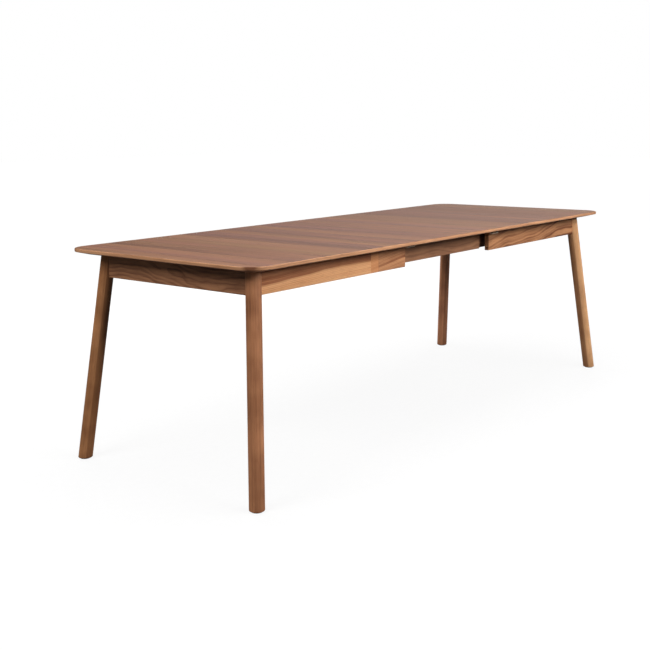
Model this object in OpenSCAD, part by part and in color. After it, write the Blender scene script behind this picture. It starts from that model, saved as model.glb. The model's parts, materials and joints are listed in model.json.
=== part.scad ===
// Extending dining table: two half tops on splayed round legs, a lift-out leaf between them,
// and a centre frame of two grooved beams on which the halves slide, kept in step by a pinion
// and two racks. It stands fully extended, on the floor at z = 0, with +X to the right, the
// front at -Y and the origin on the floor under the middle of the leaf.

/* [Top] */
// Height of the top's surface above the floor
top_h = 760; // [700:1:820]
// Depth of the table from front to back
top_w = 900; // [860:1:1000]
// Length of each half top
half_l = 900; // [860:1:1000]
// Length of the leaf that fills the middle
leaf_l = 600; // [400:1:680]
// Thickness of the half tops and the leaf
top_t = 22; // [19:1:28]
// Thickness that the underside bevel leaves at the edge
edge_t = 11; // [8:1:15]
// Width of the bevel on the underside
bevel_w = 45; // [20:1:46]
// Chamfer of the upper edge all round
arris = 1; // [0.5:0.5:1.5]
// Radius of the outer corners, seen from above
corner_r = 80; // [60:1:120]
// Thickness of the solid lipping round the edge
lip_t = 4; // [2:0.5:8]
// Gap between the leaf and each half at the surface
seam_gap = 0.5; // [0.3:0.1:1.5]
// Square part of the leaf's end, above the undercut
leaf_nose = 0.8; // [0.5:0.1:1]
// Depth of the leaf's undercut for each millimetre of its thickness
undercut = 0.52; // [0.5:0.01:0.8]

/* [Legs] */
// Diameter of the round legs
leg_d = 50.5; // [44:0.5:56]
// Distance of the foot's centre from the end of the top
foot_in_x = 14; // [8:1:24]
// Distance of the foot's centre from the long edge of the top
foot_in_y = 27; // [20:1:36]
// Lean of the legs towards the middle, seen from the front
lean_x = 7.1; // [6.4:0.1:7.7]
// Lean of the legs towards the middle, seen from the end
lean_y = 6.05; // [5.4:0.05:6.7]
// Chamfer round the foot
foot_chamfer = 3; // [1:0.5:6]
// Diameter of the glide under the foot
glide_d = 38; // [30:1:42]
// Thickness of the glide
glide_t = 3; // [2:0.5:6]
// Chamfer round the glide's underside
glide_edge = 1; // [0.5:0.5:1.5]

/* [Aprons] */
// Distance of the aprons' outer faces from the edge of the top
apron_in = 89; // [84:1:94]
// Thickness of the aprons
apron_t = 18; // [15:0.5:20]
// Height of the aprons
apron_h = 82; // [79:1:100]
// Distance of the side aprons' inner ends from the seam
apron_end = 1; // [0.5:0.5:6]
// Chamfer of the lower edges of aprons, fascias, beams, runners and battens
edge_c = 1; // [0.5:0.5:2]
// Slit between the leg and the coped end of an apron
cope_gap = 0.15; // [0.1:0.05:0.5]
// Reach of the corner block along each apron, on its inner face
block_a = 95; // [85:1:110]
// Reach of the corner block along each apron, on its outer face
block_b = 50; // [44:1:60]
// Height of the corner block
block_h = 70; // [60:1:74]
// Distance of the corner block's top from the underside of the top
block_drop = 6; // [2:1:8]
// Length of a fixing block
fixing_l = 40; // [30:1:60]
// Height of a fixing block
fixing_h = 25; // [18:1:35]
// Thickness of a fixing block
fixing_t = 18; // [12:1:20]
// Distance from the middle of the end apron to each of its fixing blocks
fixing_y = 120; // [80:1:180]
// Distance of the first fixing block from the fascia's end with the table closed
fixing_first = 40; // [20:1:60]
// Distance of the last fixing block from the corner block
fixing_last = 25; // [10:1:60]

/* [Centre frame] */
// Distance of the fascia's outer face behind the aprons' outer faces
fascia_in = 31; // [26:1:34]
// Length of the fascia
fascia_l = 560; // [380:1:590]
// Height of the fascia and of the beams
fascia_h = 74; // [70:1:80]
// Thickness of the fascia
fascia_t = 18; // [15:0.5:20]
// Thickness of the beams
beam_t = 28; // [24:1:34]
// Distance of the beams' ends from the corner blocks with the table closed
beam_end = 58; // [20:1:80]
// Length of the cross rails along the table
rail_w = 60; // [40:1:90]
// Thickness of the cross rails
rail_t = 18; // [15:1:20]
// Depth that the cross rails are let into the beams
rail_let = 10; // [6:1:12]
// Distance of the end rails from the beams' ends
rail_in = 20; // [10:1:60]

/* [Slides] */
// Clearance round sliding faces
run_gap = 0.3; // [0.2:0.05:0.6]
// Height of the groove's middle below the underside of the top
groove_drop = 26; // [22:1:30]
// Height of the groove's mouth
mouth_h = 12; // [8:1:16]
// Depth of the groove's mouth
mouth_d = 6; // [4:1:8]
// Height of the groove behind its mouth
groove_h = 22; // [18:1:26]
// Depth of the groove behind its mouth
groove_d = 8; // [5:1:10]
// Thickness of the runners without their tongues
runner_t = 34; // [28:1:44]
// Height of the runners
runner_h = 50; // [46:1:54]
// Distance of the runners' ends from the corner blocks
runner_end = 17; // [10:1:80]
// Diameter of the pegs that stop the slides
stop_d = 6; // [4:0.5:8]
// Distance of the pegs from the beams' ends
stop_in = 20; // [15:1:60]
// Reach of the pegs into the groove
stop_out = 5; // [3:0.5:6]
// Depth of the pegs in the beams
stop_bite = 10; // [6:1:12]

/* [Gear] */
// Module of the teeth
tooth_m = 2.5; // [2:0.25:3]
// Number of teeth on the pinion
pinion_n = 20; // [18:2:24]
// Play between the teeth along the pitch line
backlash = 0.3; // [0.2:0.05:0.6]
// Thickness of the pinion and of the racks
gear_t = 12; // [8:1:13]
// Width of the racks behind the teeth
rack_w = 11; // [9:1:16]
// Distance of the racks and the pinion below the underside of the top
gear_drop = 2; // [2:0.5:4]
// Length of the rack's foot under its half top
rack_foot_l = 230; // [150:5:300]
// Distance from the seam to the rack's foot
rack_foot_in = 30; // [20:1:60]
// Diameter of the pinion's pin
pin_d = 8; // [6:0.5:12]
// Play of the pinion on its pin, on the diameter
pin_play = 0.1; // [0.05:0.01:0.2]
// Diameter of the pin's head and washer
pin_head_d = 18; // [14:1:24]
// Thickness of the pin's head
pin_head_t = 1.4; // [1:0.1:1.6]
// Chamfer of the pin's head
pin_head_edge = 1; // [0.5:0.5:2]
// Thickness of the washer under the pinion
pin_washer_t = 3.7; // [1:0.1:5]
// Depth of the pin in its block
pin_foot = 20; // [12:1:28]
// Sides of the block that carries the pin
pin_block_w = 60; // [54:1:80]

/* [Leaf and rest bars] */
// Height of the leaf's underside above that of the halves
leaf_lift = 0.3; // [0.2:0.1:0.6]
// Width of the battens under the leaf
batten_w = 40; // [30:1:60]
// Height of the battens
batten_h = 18; // [12:1:22]
// Length of the battens
batten_l = 480; // [300:10:500]
// Play between the battens and the beams
batten_play = 0.7; // [0.5:0.1:1.5]
// Width of the rest bars
bar_w = 12; // [10:1:14]
// Thickness of the rest bars
bar_t = 3; // [2.5:0.5:4]
// Height of the spacers above the rest bars
bar_drop = 6; // [4:0.5:8]
// Reach of the rest bars under the leaf
bar_out = 34; // [28:1:40]
// Length of the rest bars under their own half
bar_in = 21; // [20:1:40]
// Distance of the inner rest bars from the aprons
bar_gap = 10; // [3:1:12]
// Gap between the rest bars as they pass when the table is closed
bar_pass = 2; // [2:0.5:4]
// Diameter of the spacers and of the pads under the leaf
spacer_d = 9; // [8.5:0.5:9.5]

/* [Fasteners] */
// Diameter of the leg bolts
bolt_d = 8; // [6:1:10]
// Play of the bolts in the corner blocks, on the diameter
bolt_play = 1; // [0.5:0.1:2]
// Distances of the leg bolts below the underside of the top
bolt_drop = [22, 60];
// Diameter of the bolts' washers
washer_d = 22; // [18:1:28]
// Thickness of the washers
washer_t = 2; // [1:0.5:3]
// Slit between the washers and the corner blocks
washer_gap = 0.02; // [0.01:0.01:0.1]
// Width across the flats of the nuts
nut_af = 13; // [10:1:17]
// Thickness of the nuts
nut_t = 6.5; // [5:0.5:9]
// Length of bolt that shows past the nut
bolt_end = 4; // [1:1:8]
// Length of bolt past the leg's axis
bolt_grip = 8; // [4:1:14]
// Diameter of the wood screws
screw_d = 4.5; // [3.5:0.5:6]
// Diameter of the screw heads
screw_head_d = 8.5; // [7:0.5:10]
// Straight rim of the screw heads
screw_rim = 0.4; // [0.2:0.1:0.8]
// Depth that screws reach into the wood that they hold
screw_bite = 12; // [8:1:15]
// Distance of the end screws from the battens' ends
batten_screw_in = 48; // [20:1:80]
// Distance of the end screws from the runners' ends
runner_screw_in = 60; // [30:1:90]
// Distance of the end screws from the ends of the rack's foot
rack_screw_in = 30; // [15:1:50]
// Distance of the rest bars' first screws from the seam
bar_screw_in = 5.5; // [5:0.5:6]
// Distance between the two screws of a rest bar
bar_screw_step = 10; // [10:0.5:11]
// Height of the fascia's screws above the rails
fascia_screw_up = 8; // [6:1:10]
// Play of a fastener in its hole, on the diameter
hole_play = 0.1; // [0.05:0.05:0.3]

/* [Hidden] */
$fn = 96;

// Length by which a cutting shape runs past the face that it cuts
past = 1;
// Places of the tops
under = top_h - top_t;
leaf_under = under + leaf_lift;
leaf_x = leaf_l / 2 - seam_gap / 2;
seam_x = leaf_l / 2 + seam_gap / 2;
x_end = leaf_l / 2 + half_l;
y_end = top_w / 2;
bevel_slope = (top_t - edge_t) / bevel_w;
// Each half travels by half a leaf until the tops meet
stroke = leaf_l / 2;

// Places of the legs and aprons
foot_x = x_end - foot_in_x;
foot_y = y_end - foot_in_y;
apron_x = x_end - apron_in;
apron_y = y_end - apron_in;
inner_x = apron_x - apron_t;
inner_y = apron_y - apron_t;
apron_z = under - apron_h;
function leg_x(z) = foot_x - z * tan(lean_x);
function leg_y(z) = foot_y - z * tan(lean_y);

// Places of the centre frame
fascia_y = apron_y - fascia_in;
beam_y = fascia_y - fascia_t;
beam_inner_y = beam_y - beam_t;
beam_x = inner_x - block_a - beam_end - stroke;
beam_z = under - fascia_h;
rail_end_y = beam_inner_y + rail_let;
rail_x = beam_x - rail_in - rail_w / 2;
rail_top = beam_z + rail_t;
groove_z = under - groove_drop;
runner_y = beam_inner_y - run_gap;
runner_x = seam_x + apron_end;
runner_l = inner_x - block_a - runner_end - runner_x;
stop_x = beam_x - stop_in;
groove_y = beam_inner_y + mouth_d + groove_d;

// Gear: the racks' pitch lines touch the pinion's pitch circle
pressure = 20;
pitch = PI * tooth_m;
pitch_r = tooth_m * pinion_n / 2;
base_r = pitch_r * cos(pressure);
tip_r = pitch_r + tooth_m;
dedendum = 1.25 * tooth_m;
root_r = pitch_r - dedendum;
tooth_s = pitch / 2 - backlash;
flank_steps = 5;
gear_top = under - gear_drop;
gear_z = gear_top - gear_t;
pin_block_top = gear_z - run_gap - pin_washer_t;

// Places of the screws
runner_screws = [runner_screw_in, runner_l / 2, runner_l - runner_screw_in];
first_fixing = stroke + fascia_l / 2 + fixing_first + fixing_l / 2;
last_fixing = inner_x - block_a - fixing_last - fixing_l / 2;
fixing_xs = [for (i = [0:2]) first_fixing + i * (last_fixing - first_fixing) / 2];
rack_screws = [rack_screw_in, rack_foot_l - rack_screw_in];
batten_screws = [for (i = [-1:1]) i * (batten_l / 2 - batten_screw_in)];
fascia_screws = [for (i = [0:3]) (i + 0.5) * fascia_l / 4 - fascia_l / 2];
fascia_screw_z = beam_z + rail_t + fascia_screw_up;

// A half is built on the right; the left one is the same half turned about the origin.
module right_side() children();
module left_side() rotate([0, 0, 180]) children();
module other_long_side() mirror([0, 1, 0]) children();

// A box from its lowest to its highest corner.
module block(low, high) translate(low) cube(high - low);

// The section of a board, w wide and h high, with its two lower edges chamfered.
module board_section(w, h) {
    polygon([[0, edge_c], [edge_c, 0], [w - edge_c, 0], [w, edge_c], [w, h], [0, h]]);
}

// A board along X or along Y, from its lowest to its highest corner.
module board_x(low, high) {
    size = high - low;
    translate(low) rotate([90, 0, 90]) linear_extrude(size[0]) board_section(size[1], size[2]);
}

module board_y(low, high) {
    size = high - low;
    translate([low[0], high[1], low[2]]) rotate([90, 0, 0]) linear_extrude(size[1])
        board_section(size[0], size[2]);
}

// The outline of a half top from x0 to its rounded end, drawn in by some distance.
module half_outline(draw_in, x0) {
    r = corner_r - draw_in;
    xc = x_end - corner_r;
    yc = y_end - corner_r;
    translate([x0, -yc]) square([x_end - draw_in - x0, 2 * yc]);
    translate([x0, -yc - r]) square([xc - x0, 2 * (yc + r)]);
    for (s = [-1, 1]) translate([xc, s * yc]) circle(r);
}

// What is cut away at an outer edge at r: the bevel from the underside and the chamfer on top.
module edge_section(r) {
    rise = bevel_slope * (bevel_w + past);
    polygon([[r - bevel_w, under], [r + past, under + rise], [r + past, under - past],
        [r - bevel_w, under - past]]);
    polygon([[r - arris - past, top_h + past], [r + past, top_h + past], [r + past, top_h - arris - past]]);
}

// The cuts along a long edge, from x0 to x1, at +Y.
module long_edge(x0, x1) {
    translate([x0, 0, 0]) rotate([90, 0, 90]) linear_extrude(x1 - x0) edge_section(y_end);
}

// A half top with its lipping, bevelled and chamfered along its three outer edges.
module half_blank() {
    xc = x_end - corner_r;
    yc = y_end - corner_r;
    difference() {
        translate([0, 0, under]) linear_extrude(top_t) half_outline(0, seam_x);
        long_edge(seam_x - past, xc);
        other_long_side() long_edge(seam_x - past, xc);
        translate([0, yc, 0]) rotate([90, 0, 0]) linear_extrude(2 * yc) edge_section(x_end);
        for (s = [0, 1]) translate([xc, (2 * s - 1) * yc, 0]) rotate([0, 0, 90 * s - 90])
            rotate_extrude(angle = 90) edge_section(corner_r);
    }
}

// The panel's own outline, inside the lipping, as a prism over the whole thickness.
module half_core() {
    translate([0, 0, under - past]) linear_extrude(top_t + 2 * past) half_outline(lip_t, seam_x - past);
}

module half_top() {
    color("#9b7663") difference() {
        intersection() {
            half_blank();
            half_core();
        }
        half_screws(hole_play);
    }
}

module half_lipping() {
    color("#c2926a") difference() {
        half_blank();
        half_core();
    }
}

// A leg's slanted cylinder between two heights. The line where its round face closes is turned
// outwards, clear of the aprons and the bolts.
module leg_rod(d, z0, z1) {
    tilt = atan(sqrt(pow(tan(lean_x), 2) + pow(tan(lean_y), 2)));
    heading = atan2(-tan(lean_y), -tan(lean_x));
    closing_turn = 150;
    intersection() {
        translate([foot_x, foot_y, 0]) rotate([0, tilt, heading]) rotate([0, 0, closing_turn])
            translate([0, 0, -leg_d]) cylinder(h = top_h + 2 * leg_d, d = d);
        translate([0, 0, z0]) linear_extrude(z1 - z0) translate([foot_x - 3 * leg_d, foot_y - 3 * leg_d])
            square(6 * leg_d);
    }
}

// Puts a child's z axis on a leg bolt: level, from the leg's axis at height z to the middle of the table.
module on_bolt(z) translate([leg_x(z), leg_y(z), z]) rotate([0, 0, 225]) rotate([0, 90, 0]) children();

// Distance along a leg bolt from the leg's axis to the inner face of the corner block.
function block_face(z) = (leg_x(z) + leg_y(z) - (inner_x + inner_y - block_a)) / sqrt(2);

module leg() {
    foot_r = leg_d / 2 - foot_chamfer;
    color("#8a6248") difference() {
        intersection() {
            leg_rod(leg_d, glide_t, under);
            translate([foot_x, foot_y, 0]) rotate_extrude() polygon([
                [0, glide_t], [foot_r, glide_t], [foot_r + 3 * foot_chamfer, glide_t + 3 * foot_chamfer],
                [3 * leg_d, glide_t + 3 * foot_chamfer], [3 * leg_d, under], [0, under]]);
        }
        for (drop = bolt_drop) on_bolt(under - drop) translate([0, 0, -bolt_grip - past])
            cylinder(h = bolt_grip + leg_d, d = bolt_d + hole_play, $fn = 48);
    }
}

module glide() {
    r = glide_d / 2;
    color("#2b2724") translate([foot_x, foot_y, 0]) rotate_extrude()
        polygon([[0, 0], [r - glide_edge, 0], [r, glide_edge], [r, glide_t], [0, glide_t]]);
}

module side_apron() {
    color("#a97a55") difference() {
        board_x([runner_x, inner_y, apron_z], [leg_x(under), apron_y, under]);
        leg_rod(leg_d + 2 * cope_gap, apron_z - past, under + past);
    }
}

module end_apron() {
    color("#7c5a46") difference() {
        board_y([inner_x, -leg_y(under), apron_z], [apron_x, leg_y(under), under]);
        leg_rod(leg_d + 2 * cope_gap, apron_z - past, under + past);
        other_long_side() leg_rod(leg_d + 2 * cope_gap, apron_z - past, under + past);
    }
}

module corner_block() {
    color("#b58e68") difference() {
        translate([inner_x, inner_y, under - block_drop - block_h]) linear_extrude(block_h)
            polygon([[-block_a, 0], [-block_b, 0], [0, -block_b], [0, -block_a]]);
        for (drop = bolt_drop) on_bolt(under - drop) translate([0, 0, leg_d / 2])
            cylinder(h = block_a + block_b, d = bolt_d + bolt_play, $fn = 48);
    }
}

// Two bolts through each corner block into the leg, each with its washer and nut.
module half_leg_bolts() {
    color("#b9bbbd") for (m = [0, 1]) mirror([0, m, 0]) for (drop = bolt_drop) on_bolt(under - drop) {
        face = block_face(under - drop) + washer_gap;
        translate([0, 0, -bolt_grip])
            cylinder(h = bolt_grip + face + washer_t + nut_t + bolt_end, d = bolt_d, $fn = 48);
        translate([0, 0, face]) difference() {
            cylinder(h = washer_t, d = washer_d, $fn = 48);
            translate([0, 0, -past]) cylinder(h = washer_t + 2 * past, d = bolt_d + hole_play, $fn = 48);
        }
        translate([0, 0, face + washer_t]) difference() {
            cylinder(h = nut_t, d = nut_af / cos(30), $fn = 6);
            translate([0, 0, -past]) cylinder(h = nut_t + 2 * past, d = bolt_d + hole_play, $fn = 48);
        }
    }
}

// Cross-section of the groove or, drawn in by a gap, of the tongue that runs in it: y from the
// beam's inner face outwards, z from the groove's middle.
module tongue_section(gap, root) {
    polygon([
        [root, -mouth_h / 2 + gap], [mouth_d + gap, -mouth_h / 2 + gap],
        [mouth_d + gap, -groove_h / 2 + gap], [mouth_d + groove_d - gap, -groove_h / 2 + gap],
        [mouth_d + groove_d - gap, groove_h / 2 - gap], [mouth_d + gap, groove_h / 2 - gap],
        [mouth_d + gap, mouth_h / 2 - gap], [root, mouth_h / 2 - gap]]);
}

// A peg in the beam, at +X, that runs in the slot of the runner's tongue.
module stop_peg(play) {
    translate([stop_x, groove_y - stop_out, groove_z]) rotate([-90, 0, 0])
        cylinder(h = stop_out + stop_bite + play, d = stop_d + play, $fn = 48);
}

// The slot as long as the travel, so that its ends meet the peg with the table open and closed.
module stop_slot() {
    w = stop_d + 2 * run_gap;
    translate([stop_x, groove_y, groove_z]) rotate([90, 0, 0]) linear_extrude(stop_out + run_gap) {
        translate([0, -w / 2]) square([stroke, w]);
        for (x = [0, stroke]) translate([x, 0]) circle(d = w, $fn = 48);
    }
}

module slide_stops() {
    color("#b99a74") for (a = [0, 1], b = [0, 1]) mirror([a, 0, 0]) mirror([0, b, 0]) stop_peg(0);
}

module runner() {
    color("#b99a74") difference() {
        union() {
            board_x([runner_x, runner_y - runner_t, under - runner_h],
                [runner_x + runner_l, runner_y, under]);
            translate([runner_x, beam_inner_y, groove_z]) rotate([90, 0, 90]) linear_extrude(runner_l)
                tongue_section(run_gap, -2 * run_gap);
        }
        stop_slot();
        half_screws(hole_play);
    }
}

module beam() {
    color("#6b4a38") difference() {
        board_x([-beam_x, beam_inner_y, beam_z], [beam_x, beam_y, under - run_gap]);
        translate([-beam_x - past, beam_inner_y, groove_z]) rotate([90, 0, 90])
            linear_extrude(2 * (beam_x + past)) tongue_section(0, -past);
        for (a = [0, 1]) mirror([a, 0, 0]) stop_peg(hole_play);
        for (x = [-rail_x, 0, rail_x])
            block([x - rail_w / 2, beam_inner_y - past, beam_z - past],
                [x + rail_w / 2, rail_end_y, rail_top]);
        fascia_screw_set(hole_play);
    }
}

module fascia() {
    color("#8f6a50") difference() {
        board_x([-fascia_l / 2, beam_y, beam_z], [fascia_l / 2, fascia_y, under - run_gap]);
        fascia_screw_set(hole_play);
    }
}

module cross_rail(x) {
    color("#8c6a4e") difference() {
        block([x - rail_w / 2, -rail_end_y, beam_z], [x + rail_w / 2, rail_end_y, rail_top]);
        if (x == 0) pin_block_screws(hole_play);
    }
}

// The block on the middle rail, with the blind hole for the pinion's pin.
module pin_block() {
    w = pin_block_w / 2;
    color("#b99a74") difference() {
        block([-w, -w, rail_top], [w, w, pin_block_top]);
        translate([0, 0, pin_block_top - pin_foot]) cylinder(h = pin_foot + past, d = pin_d + hole_play);
        pin_block_screws(hole_play);
    }
}

// The pin with its flat head, and the washer that the pinion turns on.
module pin_and_washer() {
    head_z = gear_top + run_gap;
    foot_z = pin_block_top - pin_foot;
    face_d = pin_head_d - 2 * pin_head_edge;
    color("#b9bbbd") {
        translate([0, 0, foot_z]) cylinder(h = head_z - foot_z, d = pin_d);
        translate([0, 0, head_z]) cylinder(h = pin_head_t, d1 = pin_head_d, d2 = face_d);
        translate([0, 0, pin_block_top]) difference() {
            cylinder(h = pin_washer_t, d = pin_head_d);
            translate([0, 0, -past]) cylinder(h = gear_t, d = pin_d + hole_play);
        }
    }
}

// Involute function of the pressure angle at radius r, in degrees.
function involute(r) = let (a = acos(min(1, base_r / r))) tan(a) * 180 / PI - a;
// Half of a tooth's angle at radius r.
function half_tooth(r) = (tooth_s / 2 / pitch_r) * 180 / PI + involute(pitch_r) - involute(r);
// Radii up a flank, from the root or the base circle, whichever is larger, to the tip.
function flank_r(i) = max(root_r, base_r) + (tip_r - max(root_r, base_r)) * i / flank_steps;

// The pinion has a gap between teeth at +Y and at -Y, where the racks' teeth stand at rest.
function pinion_outline() = [
    for (k = [0:pinion_n - 1]) let (mid = 90 + (k + 0.5) * 360 / pinion_n) each concat(
        [let (a = mid - half_tooth(flank_r(0))) root_r * [cos(a), sin(a)]],
        [for (i = [0:flank_steps]) let (a = mid - half_tooth(flank_r(i))) flank_r(i) * [cos(a), sin(a)]],
        [for (i = [flank_steps:-1:0]) let (a = mid + half_tooth(flank_r(i))) flank_r(i) * [cos(a), sin(a)]],
        [let (a = mid + half_tooth(flank_r(0))) root_r * [cos(a), sin(a)]])];

module toothed_pinion() {
    color("#e3ddcf") translate([0, 0, gear_z]) difference() {
        linear_extrude(gear_t) polygon(pinion_outline());
        translate([0, 0, -past]) cylinder(h = gear_t + 2 * past, d = pin_d + pin_play);
    }
}

// The right half's rack, on the front side of the pinion. Its first and last teeth stand two
// pitches past the pinion's middle at the two ends of the travel.
rack_y = -pitch_r;
rack_first = -2;
rack_last = ceil(stroke / pitch) + 2;
rack_root = rack_y - dedendum;
tip_half = tooth_s / 2 - tooth_m * tan(pressure);
root_half = tooth_s / 2 + dedendum * tan(pressure);
rack_end = seam_x + rack_foot_in + rack_foot_l;

function rack_outline() = concat(
    [[rack_end, rack_root], [rack_end, rack_root - rack_w],
        [(rack_first - 0.5) * pitch, rack_root - rack_w], [(rack_first - 0.5) * pitch, rack_root]],
    [for (j = [rack_first:rack_last]) each [
        [j * pitch - root_half, rack_root], [j * pitch - tip_half, rack_y + tooth_m],
        [j * pitch + tip_half, rack_y + tooth_m], [j * pitch + root_half, rack_root]]]);

module half_rack() {
    foot_x0 = seam_x + rack_foot_in;
    color("#9fa1a3") difference() {
        union() {
            translate([0, 0, gear_z]) linear_extrude(gear_t) polygon(rack_outline());
            block([foot_x0, rack_root - rack_w, gear_top], [rack_end, rack_root, under]);
        }
        half_screws(hole_play);
    }
}

module half_fixing_blocks() {
    color("#b99a74") difference() {
        union() {
            for (m = [0, 1]) mirror([0, m, 0]) for (x = fixing_xs)
                block([x - fixing_l / 2, inner_y - fixing_t, under - fixing_h],
                    [x + fixing_l / 2, inner_y, under]);
            for (s = [-1, 1])
                block([inner_x - fixing_t, s * fixing_y - fixing_l / 2, under - fixing_h],
                    [inner_x, s * fixing_y + fixing_l / 2, under]);
        }
        half_screws(hole_play);
    }
}

// Two flat bars under each half, on spacers, that carry the pads under the leaf's ends. The back one
// lies beside the apron and the front one beyond it, so that the bars of the two halves pass when
// the table is closed.
bar_back_y = apron_y + bar_gap;
bar_front_y = bar_back_y + bar_w + bar_pass;
bar_lines = [bar_back_y + bar_w / 2, -bar_front_y - bar_w / 2];
bar_screws = [seam_x + bar_screw_in, seam_x + bar_screw_in + bar_screw_step];
bar_top = under - bar_drop;
pad_x = seam_x - bar_out + bar_w / 2;

module rest_bar(y) {
    r = bar_w / 2;
    translate([0, y, bar_top - bar_t]) linear_extrude(bar_t) {
        translate([pad_x, 0]) square([bar_out + bar_in - bar_w, bar_w]);
        for (x = [pad_x, seam_x + bar_in - r]) translate([x, r]) circle(r, $fn = 48);
    }
}

module half_rest_bars() {
    color("#c9cbcd") difference() {
        union() {
            rest_bar(bar_back_y);
            other_long_side() rest_bar(bar_front_y);
        }
        half_screws(hole_play);
    }
}

module half_spacers() {
    color("#c9cbcd") difference() {
        for (x = bar_screws, y = bar_lines) translate([x, y, bar_top])
            cylinder(h = bar_drop, d = spacer_d, $fn = 48);
        half_screws(hole_play);
    }
}

// A pad under the leaf above each rest bar's round end, which it clears as the leaf does the halves.
module leaf_pads() {
    color("#2b2724") for (turn = [0, 180], y = bar_lines) rotate([0, 0, turn])
        translate([pad_x, y, bar_top + leaf_lift]) cylinder(h = bar_drop, d = spacer_d, $fn = 48);
}

// A countersunk wood screw that stands on its head and points up; play widens it into its hole.
module wood_screw(length, play) {
    r = (screw_d + play) / 2;
    head_r = (screw_head_d + play) / 2;
    rotate_extrude($fn = 32) polygon([
        [0, play > 0 ? -past : 0], [head_r, play > 0 ? -past : 0], [head_r, screw_rim],
        [r, screw_rim + head_r - r], [r, length - r], [0, length + play]]);
}

// Every screw of a half: through the runners, fixing blocks, rack and rest bars into the top.
module half_screws(play) {
    for (m = [0, 1]) mirror([0, m, 0]) {
        for (x = runner_screws) translate([runner_x + x, runner_y - runner_t / 2, under - runner_h])
            wood_screw(runner_h + screw_bite, play);
        for (x = fixing_xs) translate([x, inner_y - fixing_t / 2, under - fixing_h])
            wood_screw(fixing_h + screw_bite, play);
        translate([inner_x - fixing_t / 2, fixing_y, under - fixing_h])
            wood_screw(fixing_h + screw_bite, play);
    }
    for (x = rack_screws) translate([seam_x + rack_foot_in + x, rack_root - rack_w / 2, gear_z])
        wood_screw(under - gear_z + screw_bite, play);
    for (x = bar_screws, y = bar_lines) translate([x, y, bar_top - bar_t])
        wood_screw(bar_t + bar_drop + screw_bite, play);
}

// The screws through a beam into its fascia, at +Y, from below the groove.
module fascia_screw_set(play) {
    for (x = fascia_screws) translate([x, beam_inner_y, fascia_screw_z])
        rotate([-90, 0, 0]) wood_screw(beam_t + screw_bite, play);
}

// The screws through the middle rail into the pin's block.
module pin_block_screws(play) {
    for (s = [-1, 1]) translate([s * pin_block_w / 3, 0, beam_z])
        wood_screw(rail_t + screw_bite, play);
}

// The leaf with its lippings: bevelled along its long edges and undercut at its ends, so that
// it lifts straight out while the halves close.
module leaf_blank() {
    relief = (top_h - leaf_under - leaf_nose) * undercut;
    difference() {
        block([-leaf_x, -y_end, leaf_under], [leaf_x, y_end, top_h]);
        long_edge(-leaf_x - past, leaf_x + past);
        other_long_side() long_edge(-leaf_x - past, leaf_x + past);
        for (m = [0, 1]) mirror([m, 0, 0]) rotate([90, 0, 0]) translate([0, 0, -y_end - past])
            linear_extrude(2 * (y_end + past)) polygon([
                [leaf_x, top_h - leaf_nose], [leaf_x - relief - undercut * past, leaf_under - past],
                [leaf_x + past, leaf_under - past], [leaf_x + past, top_h - leaf_nose]]);
    }
}

module leaf_core() {
    block([-leaf_l, lip_t - y_end, leaf_under - past], [leaf_l, y_end - lip_t, top_h + past]);
}

module leaf_board() {
    color("#a08068") difference() {
        intersection() {
            leaf_blank();
            leaf_core();
        }
        leaf_screw_set(hole_play);
    }
}

module leaf_edges() {
    color("#c2926a") difference() {
        leaf_blank();
        leaf_core();
    }
}

batten_y = beam_inner_y - batten_play;

module leaf_batten() {
    color("#b99a74") difference() {
        board_x([-batten_l / 2, batten_y - batten_w, leaf_under - batten_h],
            [batten_l / 2, batten_y, leaf_under]);
        leaf_screw_set(hole_play);
    }
}

module leaf_screw_set(play) {
    for (m = [0, 1]) mirror([0, m, 0]) for (x = batten_screws)
        translate([x, batten_y - batten_w / 2, leaf_under - batten_h])
            wood_screw(batten_h + screw_bite, play);
}

module frame_screw_set() {
    color("#c9cbcd") {
        fascia_screw_set(0);
        other_long_side() fascia_screw_set(0);
        pin_block_screws(0);
    }
}

other_long_side() beam();  // beam_front
beam();  // beam_back
other_long_side() fascia();  // fascia_front
fascia();  // fascia_back
cross_rail(-rail_x);  // cross_rail_left
cross_rail(0);  // cross_rail_middle
cross_rail(rail_x);  // cross_rail_right
pin_block();  // pinion_block
pin_and_washer();  // pinion_pin
frame_screw_set();  // frame_screws
slide_stops();
toothed_pinion();  // pinion
leaf_board();  // leaf_panel
leaf_edges();  // leaf_lippings
other_long_side() leaf_batten();  // leaf_batten_front
leaf_batten();  // leaf_batten_back
color("#c9cbcd") leaf_screw_set(0);  // leaf_screws
leaf_pads();
left_side() half_top();  // left_top
left_side() half_lipping();  // left_lipping
left_side() side_apron();  // left_front_apron
left_side() other_long_side() side_apron();  // left_back_apron
left_side() end_apron();  // left_end_apron
left_side() leg();  // left_front_leg
left_side() other_long_side() leg();  // left_back_leg
left_side() corner_block();  // left_front_corner_block
left_side() other_long_side() corner_block();  // left_back_corner_block
left_side() half_leg_bolts();  // left_leg_bolts
left_side() runner();  // left_front_runner
left_side() other_long_side() runner();  // left_back_runner
left_side() half_rack();  // left_rack
left_side() half_fixing_blocks();  // left_fixing_blocks
left_side() color("#c9cbcd") half_screws(0);  // left_screws
left_side() half_rest_bars();  // left_rest_bars
left_side() half_spacers();  // left_spacers
left_side() glide();  // left_front_glide
left_side() other_long_side() glide();  // left_back_glide
right_side() half_top();  // right_top
right_side() half_lipping();  // right_lipping
right_side() other_long_side() side_apron();  // right_front_apron
right_side() side_apron();  // right_back_apron
right_side() end_apron();  // right_end_apron
right_side() other_long_side() leg();  // right_front_leg
right_side() leg();  // right_back_leg
right_side() other_long_side() corner_block();  // right_front_corner_block
right_side() corner_block();  // right_back_corner_block
right_side() half_leg_bolts();  // right_leg_bolts
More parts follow.
